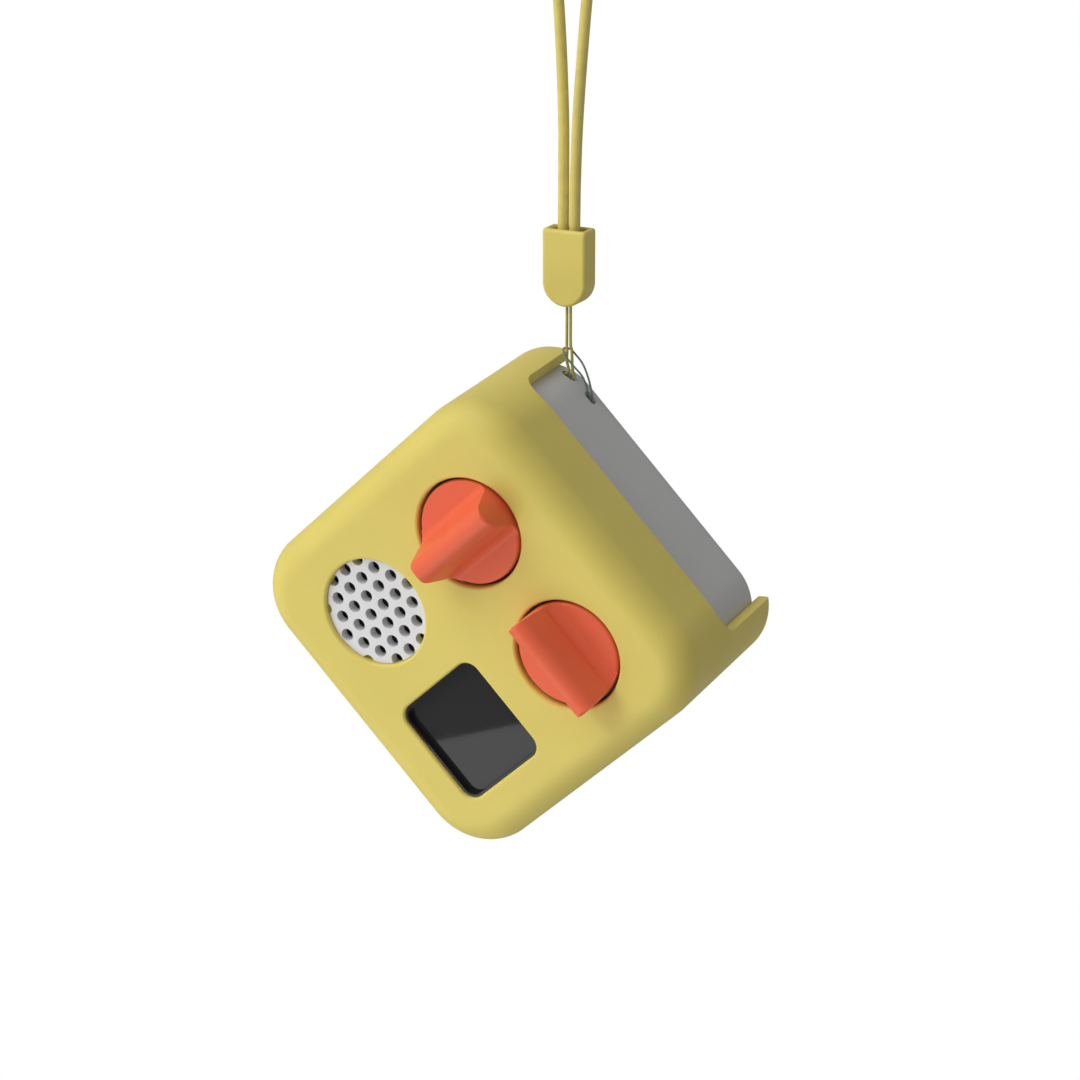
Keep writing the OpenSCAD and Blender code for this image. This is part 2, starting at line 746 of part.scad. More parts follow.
// Four screws that hold the main board
module board_screws() {
    color([0.5, 0.5, 0.52]) hang() for (p = standoffs) translate(p) mirror([0, 0, 1])
        screw(small_head_r, -board_top, small_screw_r, -board_top + 5);
}

// Three screws that hold the front board to bosses inside the front plate
module front_board_screws() {
    color([0.5, 0.5, 0.52]) hang() for (p = board_holes) translate(p)
        screw(small_head_r, front_board_z, small_screw_r, encoder_z + 4);
}

// Four soft plugs that close the screw holes in the casing's back
module screw_plugs() {
    color([0.72, 0.72, 0.71]) hang() for (p = pillars) translate(p) difference() {
        post(screw_head_r + 0.05, 0.1, 3);
        post(0.5, 0, 1);
    }
}

// ---- Strap ----

// Bead: flat sleeve with a round foot, open on top for the cord and slotted below for the string
module strap_bead() {
    r = bead_w / 2;
    edge = 0.7;
    centre_z = bead_bottom + r;
    color([0.83, 0.77, 0.38]) difference() {
        union() {
            translate([0, 0, centre_z]) rotate([90, 0, 0])
                rotate_extrude() half_section(r, -bead_t / 2, bead_t / 2, edge, edge);
            translate([0, 0, centre_z]) linear_extrude(bead_h - r) round_rect(bead_w, bead_t, edge);
        }
        translate([0, 0, crimp_z]) linear_extrude(bead_h) round_rect(bead_w - 2, bead_t - 1.8, 0.7);
        translate([0, 0, bead_bottom - 1]) linear_extrude(6) round_rect(2.4, 1.4, 0.6);
    }
}

// Crimp inside the bead that joins the cord to the string
module strap_crimp() {
    color([0.66, 0.67, 0.69]) translate([0, 0, crimp_z]) linear_extrude(crimp_t) round_rect(5.6, 2.6, 0.6);
}

// Thick cord: one closed wrist loop, both ends in the bead
module strap_cord() {
    color([0.84, 0.78, 0.40]) tube(smoothed(cord_route, 2), cord_d);
}

// Thin string: hitched round the casing's bar, both ends in the bead
module strap_string() {
    color([0.78, 0.74, 0.38]) translate([0, 0, -anchor_drop]) tube(string_route, string_d);
}

silicone_sleeve();
front_shell();
rear_shell();
speaker_grille();
speaker_gasket();
speaker_frame();
speaker_cone();
speaker_magnet();
display_lens();
display_gasket();
display_module();
front_board();
left_encoder();
right_encoder();
left_rotor();
right_rotor();
left_shaft();
right_shaft();
left_knob();
right_knob();
main_board();
shield_can();
battery();
battery_pad();
battery_lead();
speaker_lead();
board_ribbon();
antenna();
usb_socket();
headphone_socket();
power_switch();
power_button();
casing_screws();
board_screws();
front_board_screws();
screw_plugs();
strap_bead();
strap_crimp();
strap_cord();
strap_string();
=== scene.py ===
"""Looks of a small square audio player in a silicone sleeve, hanging by one corner from its wrist strap.

The player's own pieces are built lying on its back, in bench coordinates: X to its right, Y to its top and
Z out of its front, with Z zero at the casing's back. BenchPose takes them to their place on the strap.
"""

import logging
import math
from collections.abc import Callable, Iterable, Sequence
from dataclasses import dataclass, field
from enum import Enum

import bmesh
import bpy
from mathutils import Matrix, Vector


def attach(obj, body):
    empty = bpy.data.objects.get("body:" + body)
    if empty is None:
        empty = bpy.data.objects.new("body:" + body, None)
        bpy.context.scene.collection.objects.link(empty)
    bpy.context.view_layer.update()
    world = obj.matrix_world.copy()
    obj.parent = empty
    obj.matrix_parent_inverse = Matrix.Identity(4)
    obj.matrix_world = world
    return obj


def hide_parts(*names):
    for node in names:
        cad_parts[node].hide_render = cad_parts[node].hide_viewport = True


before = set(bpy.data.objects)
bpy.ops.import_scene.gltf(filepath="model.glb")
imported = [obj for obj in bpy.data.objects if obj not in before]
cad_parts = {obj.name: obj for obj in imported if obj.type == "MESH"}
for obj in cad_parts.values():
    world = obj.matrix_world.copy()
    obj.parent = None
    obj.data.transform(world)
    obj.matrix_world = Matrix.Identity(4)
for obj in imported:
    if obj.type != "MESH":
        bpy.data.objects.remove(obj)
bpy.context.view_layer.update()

LOG = logging.getLogger("player")
MM = 0.001
Colour = tuple[float, float, float]
Point = tuple[float, float, float]
Outline = list[tuple[float, float]]
USUAL_NOISE = (0.3, 0.7)
SMEARS_PER_PATCH = 2.3
BUMP_STRENGTH = 0.6
UNDERGLOW_WEIGHT = 0.25
UNDERGLOW_RADIUS = (1.0, 0.7, 0.25)


# ---- Places ----


@dataclass(frozen=True)
class BenchPose:
    """How the player hangs: where its strap anchor is and how far it is turned and tipped.

    Attributes:
        anchor: the point on the casing that the strap's line passes through, on the bench.
        drop: how far below the top of the strap's loop that point hangs.
        turn: how far the player is turned in the plane of its front, in degrees.
        tip: how far its front tips towards the floor, in degrees.
    """

    anchor: Point = (-28 * MM, 35 * MM, 6 * MM)
    drop: float = 145 * MM
    turn: float = 47.3
    tip: float = 4.3

    def matrix(self) -> Matrix:
        """Returns the matrix from bench coordinates to the row frame."""
        stand = Matrix.Rotation(math.radians(90), 4, "X")
        turn = Matrix.Rotation(math.radians(self.turn), 4, "Y")
        tip = Matrix.Rotation(math.radians(self.tip), 4, "X")
        hang = Matrix.Translation((0, 0, -self.drop))
        return hang @ tip @ turn @ stand @ Matrix.Translation(-Vector(self.anchor))


@dataclass(frozen=True)
class Layout:
    """Driving sizes that several pieces share, on the bench, in metres."""

    front: float = 40 * MM
    casing_front: float = 37.5 * MM
    casing_w: float = 70 * MM
    casing_corner: float = 11 * MM
    sleeve_t: float = 2.5 * MM
    grid: float = 30.3 * MM
    grid_lift: float = 0.5 * MM
    well_r: float = 11.4 * MM

    def place(self, column: int, row: int) -> Vector:
        """Returns the centre of one place of the two by two layout, each index -1 or 1."""
        return Vector((column * self.grid / 2, row * self.grid / 2 + self.grid_lift, 0))


POSE = BenchPose()
LAYOUT = Layout()


# ---- Finishes ----


class Grain(Enum):
    """Kinds of fine surface texture, by the noise's stretch along X, Y and Z."""

    EVEN = (1.0, 1.0, 1.0)
    BRUSHED = (0.06, 1.0, 0.06)
    SPUN = (1.0, 1.0, 0.05)


class NodeBench:
    """Small helper that adds and links nodes in one material's tree."""

    def __init__(self, name: str) -> None:
        """Makes a new material with an empty tree.

        Args:
            name: the material's name.
        """
        self.material = bpy.data.materials.new(name)
        self.material.use_nodes = True
        self.tree = self.material.node_tree
        self.tree.nodes.clear()
        self.coordinates = self.tree.nodes.new("ShaderNodeTexCoord").outputs["Object"]

    def add(self, kind: str, settings: dict | None = None, **inputs: object) -> bpy.types.Node:
        """Adds a node.

        Args:
            kind: the node's type name.
            settings: attributes of the node itself.
            inputs: socket values or links, by the socket's name with spaces as underscores.

        Returns:
            The new node.
        """
        node = self.tree.nodes.new(kind)
        for key, value in (settings or {}).items():
            setattr(node, key, value)
        for key, value in inputs.items():
            self.feed(node.inputs[key.replace("_", " ")], value)
        return node

    def feed(self, socket: bpy.types.NodeSocket, value: object) -> None:
        """Links an output to the socket, or sets its value."""
        if isinstance(value, bpy.types.NodeSocket):
            self.tree.links.new(value, socket)
        else:
            socket.default_value = value

    def noise(self, scale: float, detail: float = 3.0, stretch: Point = (1, 1, 1)) -> bpy.types.NodeSocket:
        """Returns a noise value from 0 to 1, with scale features a metre."""
        mapped = self.add("ShaderNodeMapping", Vector=self.coordinates, Scale=stretch)
        noise = self.add("ShaderNodeTexNoise", Vector=mapped.outputs[0], Scale=scale, Detail=detail)
        return noise.outputs["Fac"]

    def spread(self, value: bpy.types.NodeSocket, low: float, high: float) -> bpy.types.NodeSocket:
        """Returns a noise value stretched from its usual middle range to low and high."""
        least, most = USUAL_NOISE
        ranged = self.add("ShaderNodeMapRange", Value=value, From_Min=least, From_Max=most,
                          To_Min=low, To_Max=high)
        return ranged.outputs[0]

    def blend(self, share: object, first: object, second: object) -> bpy.types.NodeSocket:
        """Returns a colour between first and second."""
        mix = self.tree.nodes.new("ShaderNodeMix")
        mix.data_type = "RGBA"
        self.feed(mix.inputs[0], share)
        self.feed(mix.inputs[6], first)
        self.feed(mix.inputs[7], second)
        return mix.outputs[2]

    def output(self, shader: bpy.types.NodeSocket) -> bpy.types.Material:
        """Links the shader to the material's output and returns the material."""
        self.add("ShaderNodeOutputMaterial", Surface=shader)
        return self.material


def rgba(colour: Colour) -> tuple[float, float, float, float]:
    """Returns the colour with full alpha."""
    return (*colour, 1.0)


def scaled(colour: Colour, share: float) -> Colour:
    """Returns the colour made lighter or darker by a share, up to white."""
    return tuple(min(1.0, c * share) for c in colour)


@dataclass(frozen=True)
class Finish:
    """A finish with mottled colour, uneven gloss and fine grain.

    Attributes:
        name: the material's name.
        colour: the colour, linear.
        mottle: how far the colour strays, as a share.
        mottle_scale: patches a metre.
        roughness: the surface's roughness.
        unevenness: how far the roughness strays.
        grain: kind of fine texture.
        grain_scale: grains a metre.
        grain_depth: height of the grain, in metres.
        metallic: 1 for bare metal.
        sheen: weight of the soft glow of dust and velvet at grazing angles.
        coat: weight of a clear coat.
        depth: how far light travels under the surface, in metres, and 0 for none.
        specular: how strongly the surface mirrors at its face.
    """

    name: str
    colour: Colour
    mottle: float = 0.05
    mottle_scale: float = 60.0
    roughness: float = 0.5
    unevenness: float = 0.06
    grain: Grain = Grain.EVEN
    grain_scale: float = 2600.0
    grain_depth: float = 0.02 * MM
    metallic: float = 0.0
    sheen: float = 0.0
    coat: float = 0.0
    depth: float = 0.0
    specular: float = 0.5

    def colours(self, bench: NodeBench) -> bpy.types.NodeSocket:
        """Returns the mottled colour; finishes with a pattern of their own change this."""
        patches = bench.spread(bench.noise(self.mottle_scale, 4), 0, 1)
        dark, light = scaled(self.colour, 1 - self.mottle), scaled(self.colour, 1 + self.mottle)
        return bench.blend(patches, rgba(dark), rgba(light))

    def relief(self, bench: NodeBench) -> bpy.types.NodeSocket:
        """Returns the height of the fine grain, from 0 to 1."""
        return bench.noise(self.grain_scale, 3, self.grain.value)

    def build(self) -> bpy.types.Material:
        """Returns the finish as a new material."""
        bench = NodeBench(self.name)
        grain = self.relief(bench)
        smears = bench.noise(self.mottle_scale * SMEARS_PER_PATCH, 5, self.grain.value)
        gloss = bench.spread(smears, self.roughness - self.unevenness, self.roughness + self.unevenness)
        bump = bench.add("ShaderNodeBump", Height=grain, Strength=BUMP_STRENGTH,
                         Distance=self.grain_depth)
        shader = bench.add(
            "ShaderNodeBsdfPrincipled",
            Base_Color=self.colours(bench),
            Roughness=gloss,
            Normal=bump.outputs[0],
            Metallic=self.metallic,
            Sheen_Weight=self.sheen,
            Coat_Weight=self.coat,
            Specular_IOR_Level=self.specular,
            Sheen_Roughness=0.4,
            Coat_Roughness=0.08,
        )
        if self.depth > 0:
            shader.inputs["Subsurface Weight"].default_value = UNDERGLOW_WEIGHT
            shader.inputs["Subsurface Radius"].default_value = UNDERGLOW_RADIUS
            shader.inputs["Subsurface Scale"].default_value = self.depth
        return bench.output(shader.outputs[0])


@dataclass(frozen=True)
class BoardFinish(Finish):
    """Solder mask with copper tracks showing through as paler lines."""

    track_scale: float = 420.0
    track_width: float = 0.08
    track_share: float = 1.9

    def colours(self, bench: NodeBench) -> bpy.types.NodeSocket:
        """Returns the board's green with paler tracks."""
        cells = bench.add("ShaderNodeTexVoronoi", {"feature": "DISTANCE_TO_EDGE"}, Vector=bench.coordinates,
                          Scale=self.track_scale)
        track = bench.add("ShaderNodeMath", {"operation": "LESS_THAN"})
        bench.feed(track.inputs[0], cells.outputs["Distance"])
        track.inputs[1].default_value = self.track_width
        return bench.blend(track.outputs[0], rgba(self.colour), rgba(scaled(self.colour, self.track_share)))


@dataclass(frozen=True)
class TwistedFinish(Finish):
    """Thread laid in a fine twist along the string."""

    turns: float = 2600.0

    def relief(self, bench: NodeBench) -> bpy.types.NodeSocket:
        """Returns the height of the twisted threads."""
        wave = bench.add(
            "ShaderNodeTexWave",
            {"wave_type": "BANDS", "bands_direction": "DIAGONAL"},
            Vector=bench.coordinates,
            Scale=self.turns,
            Distortion=1.5,
        )
        return wave.outputs["Fac"]


SLEEVE = Finish("sleeve_silicone", (0.78, 0.648, 0.147), 0.025, 45, 0.52, 0.07, grain_scale=3200,
                grain_depth=0.012 * MM, sheen=0.08, depth=1.2 * MM)
CASING = Finish("casing_plastic", (0.56, 0.56, 0.555), 0.02, 70, 0.42, 0.06, grain_scale=5200,
                grain_depth=0.01 * MM)
KNOB = Finish("knob_plastic", (0.89, 0.145, 0.056), 0.03, 90, 0.44, 0.06, grain_scale=4200,
              grain_depth=0.012 * MM, sheen=0.04, depth=0.5 * MM)
GRILLE = Finish("grille_plastic", (0.78, 0.78, 0.79), 0.015, 120, 0.4, 0.06, grain_scale=5200,
                grain_depth=0.008 * MM)
GLASS = Finish("display_glass", (0.017, 0.017, 0.0175), 0.1, 30, 0.025, 0.008, grain_scale=900,
               grain_depth=0.0005 * MM, specular=0.5)
FOAM = Finish("foam", (0.03, 0.03, 0.031), 0.25, 500, 0.9, 0.05, grain_scale=1800,
              grain_depth=0.12 * MM)
DARK = Finish("dark_plastic", (0.035, 0.035, 0.038), 0.12, 150, 0.5, 0.08, grain_scale=3600)
PAPER = Finish("cone_paper", (0.03, 0.03, 0.03), 0.2, 400, 0.85, 0.05, grain_scale=1500,
               grain_depth=0.05 * MM)
METAL = Finish("bare_metal", (0.62, 0.62, 0.64), 0.05, 90, 0.3, 0.08, Grain.BRUSHED, 4200,
               0.008 * MM, 1.0)
STEEL = Finish("screw_steel", (0.36, 0.36, 0.38), 0.08, 200, 0.32, 0.08, Grain.EVEN, 5200,
               0.008 * MM, 1.0)
DIFFUSER = Finish("diffuser", (0.7, 0.7, 0.68), 0.02, 90, 0.5, 0.05, depth=1 * MM)
BOARD = BoardFinish("circuit_board", (0.012, 0.12, 0.06), 0.1, 90, 0.3, 0.06, coat=0.4)
CELL = Finish("cell_wrap", (0.09, 0.16, 0.3), 0.06, 80, 0.3, 0.06, coat=0.3)
RED_LEAD = Finish("lead_red", (0.45, 0.025, 0.015), 0.06, 200, 0.35, 0.05)
BLACK_LEAD = Finish("lead_black", (0.015, 0.015, 0.016), 0.1, 200, 0.35, 0.05)
RIBBON = Finish("ribbon", (0.55, 0.44, 0.24), 0.06, 200, 0.4, 0.06, Grain.BRUSHED, 2600)
COPPER = Finish("antenna_film", (0.6, 0.28, 0.1), 0.08, 120, 0.35, 0.08, metallic=0.6)
PLUG = Finish("plug_rubber", (0.52, 0.52, 0.515), 0.04, 200, 0.6, 0.06)
BEAD = Finish("bead_silicone", (0.78, 0.65, 0.155), 0.03, 120, 0.5, 0.07, grain_scale=3600,
              grain_depth=0.012 * MM, sheen=0.08, depth=0.8 * MM)
CORD = Finish("cord_yellow", (0.74, 0.62, 0.16), 0.06, 350, 0.42, 0.08, grain_scale=2600,
              grain_depth=0.05 * MM, sheen=0.15, depth=0.5 * MM)
STRING = TwistedFinish("string_nylon", (0.6, 0.52, 0.10), 0.08, 500, 0.45, 0.08, grain_depth=0.05 * MM)
# Grey-green copy of the yellow string for the hitch's bight: painted shade, the same string as it looks in
# shade.
SHADED_BIGHT = TwistedFinish("string_bight_painted_shade", (0.2, 0.26, 0.22), 0.12, 700, 0.4, 0.08, grain_depth=0.05 * MM)


class Paintbox:
    """Every finish as a material, built once."""

    def __init__(self) -> None:
        """Starts with no material built."""
        self.built: dict[str, bpy.types.Material] = {}

    def take(self, finish: Finish) -> bpy.types.Material:
        """Returns the finish's material, building it the first time."""
        if finish.name not in self.built:
            self.built[finish.name] = finish.build()
        return self.built[finish.name]


PAINT = Paintbox()


# ---- Mesh making ----


def arc(cx: float, cy: float, r: float, start: float, end: float, steps: int) -> Outline:
    """Returns steps + 1 points on an arc, angles in degrees."""
    angles = [math.radians(start + (end - start) * i / steps) for i in range(steps + 1)]
    return [(cx + r * math.cos(a), cy + r * math.sin(a)) for a in angles]


def rounded_rectangle(w: float, h: float, r: float, steps: int = 24) -> Outline:
    """Returns a rectangle with round corners, with the same points a corner whatever its size."""
    x, y = w / 2 - r, h / 2 - r
    corners = [(x, y, 0), (-x, y, 90), (-x, -y, 180), (x, -y, 270)]
    return [p for cx, cy, a in corners for p in arc(cx, cy, r, a, a + 90, steps)]


def circle(r: float, steps: int = 96) -> Outline:
    """Returns a circle."""
    return [(r * math.cos(math.tau * i / steps), r * math.sin(math.tau * i / steps)) for i in range(steps)]


def loft(rings: Sequence[Sequence[Vector]]) -> bmesh.types.BMesh:
    """Joins closed rings of equal length into one closed skin, with a flat cap on the first and the last.

    Args:
        rings: closed rings of points, in order.

    Returns:
        A new bmesh with outward normals.
    """
    mesh = bmesh.new()
    rows = [[mesh.verts.new(p) for p in ring] for ring in rings]
    count = len(rows[0])
    for low, high in zip(rows, rows[1:]):
        for i in range(count):
            j = (i + 1) % count
            mesh.faces.new((low[i], low[j], high[j], high[i]))
    mesh.faces.new(list(reversed(rows[0])))
    mesh.faces.new(rows[-1])
    bmesh.ops.recalc_face_normals(mesh, faces=mesh.faces)
    return mesh


def stack(outline: Callable[[float], Outline], levels: Iterable[tuple[float, float]]) -> bmesh.types.BMesh:
    """Lofts an outline along Z.

    Args:
        outline: gives the outline for an inset.
        levels: (inset, height) pairs from the bottom up.

    Returns:
        A new bmesh.
    """
    return loft([[Vector((x, y, z)) for x, y in outline(inset)] for inset, z in levels])


def soft_edge(depth: float, r: float, steps: int = 12) -> list[tuple[float, float]]:
    """Returns (inset, height) pairs that round off an upper edge of radius r that ends at height depth."""
    return [(r - r * math.cos(a), depth - r + r * math.sin(a))
            for a in (math.radians(90 * i / steps) for i in range(steps + 1))]


def lip_levels(high: float, lip: float, steps: int = 10) -> list[tuple[float, float]]:
    """Returns (inset, height) pairs of a cutter that opens out with a soft lip at height high."""
    return [(-(lip - lip * math.cos(a)), high - lip + lip * math.sin(a))
            for a in (math.radians(90 * i / steps) for i in range(steps + 1))]


def as_object(mesh: bmesh.types.BMesh, name: str, place: Matrix | None = None) -> bpy.types.Object:
    """Turns a bmesh into an object with its points in the row frame.

    Args:
        mesh: the bmesh, which is freed.
        name: the object's name.
        place: moves the points first.

    Returns:
        The new object, linked to the scene.
    """
    if place is not None:
        mesh.transform(place)
    data = bpy.data.meshes.new(name)
    mesh.to_mesh(data)
    mesh.free()
    made = bpy.data.objects.new(name, data)
    bpy.context.scene.collection.objects.link(made)
    return made


class Cut(Enum):
    """Ways to combine two solids."""

    SUBTRACT = "DIFFERENCE"
    ADD = "UNION"
    KEEP_COMMON = "INTERSECT"


def combine(target: bpy.types.Object, tools: Iterable[bpy.types.Object], how: Cut) -> bpy.types.Object:
    """Combines solids and removes the tools.

    Args:
        target: the solid that is changed.
        tools: the solids it is combined with.
        how: the operation.

    Returns:
        The target.
    """
    for tool in list(tools):
        step = target.modifiers.new("cut", "BOOLEAN")
        step.operation, step.solver, step.object = how.value, "EXACT", tool
        settle(target)
        bpy.data.objects.remove(tool)
    return target


def settle(piece: bpy.types.Object) -> None:
    """Applies the piece's modifiers to its mesh."""
    graph = bpy.context.evaluated_depsgraph_get()
    graph.update()
    fresh = bpy.data.meshes.new_from_object(piece.evaluated_get(graph))
    fresh.name = piece.name
    piece.modifiers.clear()
    piece.data = fresh


def soften(piece: bpy.types.Object, width: float, angle: float = 40, steps: int = 3) -> None:
    """Rounds the piece's sharp edges and shades it smooth.

    Args:
        piece: the object.
        width: width of the rounding.
        angle: edges sharper than this are rounded, in degrees.
        steps: facets across the rounding.
    """
    if width > 0:
        edge = piece.modifiers.new("edge", "BEVEL")
        edge.width, edge.segments, edge.angle_limit = width, steps, math.radians(angle)
        edge.limit_method, edge.harden_normals = "ANGLE", False
        settle(piece)
    smooth(piece)


def smooth(piece: bpy.types.Object, sharp: float = 50) -> None:
    """Shades a mesh smooth, with flat faces kept flat by their size."""
    piece.data.polygons.foreach_set("use_smooth", [True] * len(piece.data.polygons))
    piece.data.set_sharp_from_angle(angle=math.radians(sharp))
    weigh = piece.modifiers.new("weigh", "WEIGHTED_NORMAL")
    weigh.keep_sharp, weigh.weight = True, 50


def drill(x: float, y: float, r: float, low: float, high: float, lip: float = 0.0) -> bpy.types.Object:
    """Makes a round cutter along Z, opening out with a soft lip at its upper end.

    Args:
        x: the hole's place.
        y: the hole's place.
        r: the hole's radius.
        low: where the cutter starts.
        high: the surface that the hole opens in.
        lip: radius of the lip.

    Returns:
        The cutter.
    """
    levels = [(0.0, low)]
    if lip > 0:
        levels += lip_levels(high, lip)
    levels.append((-lip, high + 1 * MM))
    made = stack(lambda inset: circle(r - inset), levels)
    return as_object(made, "cutter", Matrix.Translation((x, y, 0)))


@dataclass
class Assembly:
    """Base of every sub-assembly: hands out its pieces' bodies and materials."""

    body: str = "player"

    def fit(self, piece: bpy.types.Object, finish: Finish, slot: str, *nodes: str) -> bpy.types.Object:
        """Dresses a new piece, puts it on its body and hides the solids it stands for.

        Args:
            piece: the new piece, already in place.
            finish: its finish.
            slot: the record's material slot; not used.
            nodes: the CAD nodes it replaces.

        Returns:
            The piece.
        """
        if not piece.data.materials:
            piece.data.materials.append(PAINT.take(finish))
        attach(piece, self.body)
        if nodes:
            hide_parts(*nodes)
        LOG.info("%s: %d faces, %s, on %s", piece.name, len(piece.data.polygons), finish.name,
                 self.body)
        return piece

    def dress(self, node: str, finish: Finish, edge: float = 0.0) -> None:
        """Gives a CAD node its finish and, if asked, softened edges.

        Args:
            node: the CAD node's name.
            finish: its finish.
            edge: width of the rounding on its edges, 0 for none.
        """
        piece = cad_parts[node]
        piece.data.materials.clear()
        piece.data.materials.append(PAINT.take(finish))
        if edge > 0:
            step = piece.modifiers.new("edge", "BEVEL")
            step.width, step.segments, step.limit_method = edge, 2, "ANGLE"
            step.angle_limit = math.radians(40)
        LOG.info("%s: kept, %s", node, finish.name)


# ---- Strap ----


def swept(points: Sequence[Vector], radii: Sequence[float], sides: int) -> bmesh.types.BMesh:
    """Sweeps a round tube along the points without twist.

    Args:
        points: the centreline.
        radii: the tube's radius at each point.
        sides: facets round the tube.

    Returns:
        A new bmesh with closed ends.
    """
    last = len(points) - 1
    across = Vector((1, 0, 0))
    rings = []
    for i, point in enumerate(points):
        along = (points[min(i + 1, last)] - points[max(i - 1, 0)]).normalized()
        across = (across - along * across.dot(along)).normalized()
        up = along.cross(across)
        turns = [math.tau * (j + 0.5) / sides for j in range(sides)]
        rings.append([point + radii[i] * (math.cos(a) * across + math.sin(a) * up) for a in turns])
    return loft(rings)


def smooth_route(route: Sequence[Point], steps: int) -> list[Vector]:
    """Returns the route with extra points on a smooth curve through its own points.

    Args:
        route: the given points, in millimetres.
        steps: points on each stretch.

    Returns:
        Points in metres.
    """
    p = [Vector(q) * MM for q in route]
    made = []
    for i in range(len(p) - 1):
        a, b, c, d = p[max(i - 1, 0)], p[i], p[i + 1], p[min(i + 2, len(p) - 1)]
        for k in range(steps):
            u = k / steps
            made.append((2 * b + (c - a) * u + (2 * a - 5 * b + 4 * c - d) * u**2
                         + (3 * b - a - 3 * c + d) * u**3) / 2)
    return [*made, p[-1]]


@dataclass
class WristStrap(Assembly):
    """Thick cord loop, bead, crimp and the thin string hitched round the casing's bar."""

    cord_d: float = 2.2 * MM
    cord_sides: int = 28
    string_d: float = 0.6 * MM
    string_sides: int = 14
    bight_share: float = 0.68
    bead_w: float = 9.5 * MM
    bead_t: float = 5.2 * MM
    bead_h: float = 15.5 * MM
    bead_bottom: float = -131 * MM
    bead_edge: float = 0.7 * MM
    bead_corner: float = 0.6 * MM
    slot_w: float = 2.4 * MM
    slot_t: float = 1.4 * MM
    cavity_floor: float = -127 * MM
    wall: tuple[float, float] = (1.0 * MM, 0.9 * MM)
    cord_route: list[Point] = field(default_factory=lambda: [
        (-1.25, 0, -124.6), (-1.25, 0, -120), (-1.25, 0, -115), (-1.25, 0.1, -105), (-1.4, 0.2, -92),
        (-2.4, 0.4, -74), (-4.4, 0.6, -52), (-6.2, 0.4, -30), (-6.6, 0.2, -14), (-4.8, 0, -4),
        (0, 0, -1.1), (5.2, 0, -4), (7.4, -0.2, -14), (7.4, -0.4, -30), (5.8, -0.6, -52),
        (3.6, -0.5, -74), (2.1, -0.3, -92), (1.45, -0.1, -105), (1.25, 0, -115), (1.25, 0, -120),
        (1.25, 0, -124.6)])
    string_route: list[Point] = field(default_factory=lambda: [
        (-0.4, 0, 18), (-0.4, 0, 12), (-0.42, 0, 6), (-0.38, 0.1, 4.66), (-0.54, 0.3, 2.32),
        (-0.31, 0.68, 0.24), (-1.52, 0.91, -0.79), (-2.28, 1.15, -2.02), (-2.04, 1.24, -3.16),
        (-0.76, 1.36, -4.69), (0.67, 1.46, -6.09), (2.2, 1.42, -6.87), (3.53, 1.27, -6.26),
        (4.68, 1.08, -5), (4.68, 0.9, -3.56), (3.91, 0.95, -0.78), (2.67, 0.95, 1.95), (1.02, 0.9, 3.81),
        (0.09, 0.85, 4.62), (-0.89, 0.8, 4.88), (-1.24, 0.1, 4.76), (-0.64, -0.6, 3.96), (0.32, -0.7, 2.88),
        (1.43, -0.6, 1.7), (3.05, -0.15, -0.2), (3.85, 0.2, -2.25), (3.83, 0.72, -4.18), (2.62, 0.7, -5.3),
        (1.56, 0.71, -6.15), (0.26, 0.68, -5.71), (-0.86, 0.59, -4.57), (-1.13, 0.55, -3.32),
        (-0.23, 0.57, -2.22), (0.94, 0.59, -1.13), (0.69, 0.3, 1.04), (0.62, 0.1, 4.78), (0.42, 0, 6),
        (0.4, 0, 12), (0.4, 0, 18)])
    bight_from: int = 6
    bight_to: int = 33

    def build(self) -> None:
        """Builds the bead first, and then the cord and string."""
        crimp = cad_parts["strap_crimp"]
        bead = self.make_bead()
        self.dress("strap_crimp", METAL)
        self.make_cord([bead, crimp])
        self.make_string()

    def make_cord(self, held: list[bpy.types.Object]) -> None:
        """Args:
            held: the pieces that sit on the cord; not used.
        """
        line = smooth_route(self.cord_route, 8)
        cord = as_object(swept(line, [self.cord_d / 2] * len(line), self.cord_sides), "wrist_cord")
        smooth(cord, 80)
        self.fit(cord, CORD, "cord_yellow", "strap_cord")

    def make_string(self) -> None:
        steps = 6
        line = [p - Vector((0, 0, POSE.drop)) for p in smooth_route(self.string_route, steps)]
        radii = [self.string_d / 2 * self.thinning(i / steps) for i in range(len(line))]
        string = as_object(swept(line, radii, self.string_sides), "hitch_string")
        string.data.materials.append(PAINT.take(STRING))
        # The second material, for the faces along the bight, is the grey-green copy of the string: painted
        # shade on the same yellow string.
        string.data.materials.append(PAINT.take(SHADED_BIGHT))
        for face in string.data.polygons:
            at = face.index / self.string_sides / steps
            face.material_index = int(self.bight_from < at < self.bight_to)
        smooth(string, 80)
        self.fit(string, STRING, "string_nylon", "strap_string")

    def thinning(self, at: float) -> float:
        """Returns the string's share of its full diameter at a place along its route."""
        inside = min(at - self.bight_from, self.bight_to - at)
        return 1 - (1 - self.bight_share) * min(1, max(0, inside / 2))

    def bead_outline(self, inset: float) -> Outline:
        """Returns the bead seen from the front: square top, round foot, smaller by the inset."""
        r = self.bead_w / 2
        foot, top = self.bead_bottom + r, self.bead_bottom + self.bead_h - inset
        x, corner = r - inset, self.bead_corner
        right = arc(x - corner, top - corner, corner, 0, 90, 6)
        left = arc(-x + corner, top - corner, corner, 90, 180, 6)
        return right + left + arc(0, foot, x, 180, 360, 40)

